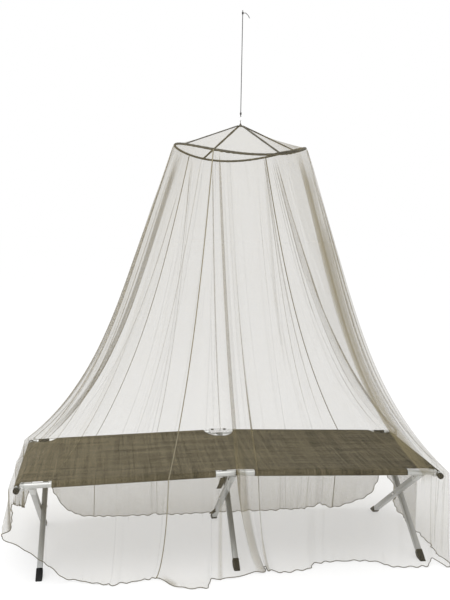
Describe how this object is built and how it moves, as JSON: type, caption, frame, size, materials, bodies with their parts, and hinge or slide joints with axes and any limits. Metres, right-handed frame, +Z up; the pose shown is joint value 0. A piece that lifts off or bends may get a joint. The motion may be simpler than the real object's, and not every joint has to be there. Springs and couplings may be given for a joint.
{
  "type": "mosquito net canopy over a folding camp cot",
  "caption": "Bell-shaped mosquito net hung by a cord from a sprung hoop and let down over a folding camp cot to the floor.",
  "frame": {"origin": "on the floor, under the middle of the whole object's outline seen from above", "axes": "+Z up; X along the cot's length, +X to its right end seen from the near side; +Y away from the near side"},
  "size_m": [2.0299, 0.8528, 2.527],
  "materials": {
    "net": "fine open mesh, matt",
    "tape": "woven binding tape, matt",
    "cot_cloth": "coated plain weave, matt",
    "aluminium": "satin drawn tube",
    "steel": "bright plated",
    "black_plastic": "moulded, fine texture",
    "cord": "braided, matt"
  },
  "bodies": {
    "root": {"cord_knot_low": "cord", "cord_knot_top": "cord", "cord_tail": "cord", "cot_deck": "cot_cloth", "end_bar_left": "aluminium", "end_bar_right": "aluminium", "end_cap_far_left": "black_plastic", "end_cap_far_right": "black_plastic", "end_cap_near_left": "black_plastic", "end_cap_near_right": "black_plastic", "foot_left_far": "black_plastic", "foot_left_near": "black_plastic", "foot_middle_far": "black_plastic", "foot_middle_near": "black_plastic", "foot_right_far": "black_plastic", "foot_right_near": "black_plastic", "hanging_cord": "cord", "hanging_loop": "tape", "hoop_binding": "tape", "leg_bolt_left": "steel", "leg_bolt_middle": "steel", "leg_bolt_right": "steel", "leg_left_far_foot": "aluminium", "leg_left_near_foot": "aluminium", "leg_middle_far_foot": "aluminium", "leg_middle_near_foot": "aluminium", "leg_right_far_foot": "aluminium", "leg_right_near_foot": "aluminium", "rail_end_far_left": "aluminium", "rail_end_far_right": "aluminium", "rail_end_near_left": "aluminium", "rail_end_near_right": "aluminium", "rail_far_left": "aluminium", "rail_far_right": "aluminium", "rail_hinge_far": "black_plastic", "rail_hinge_near": "black_plastic", "rail_hinge_plate": "steel", "rail_near_left": "aluminium", "rail_near_right": "aluminium", "s_hook": "steel", "top_gore_1": "net", "top_gore_2": "net", "top_gore_3": "net", "top_gore_4": "net", "top_tape_1": "tape", "top_tape_2": "tape", "top_tape_3": "tape", "top_tape_4": "tape", "wall_panel_far": "net", "wall_panel_left": "net", "wall_panel_right": "net"}
  },
  "joints": []
}
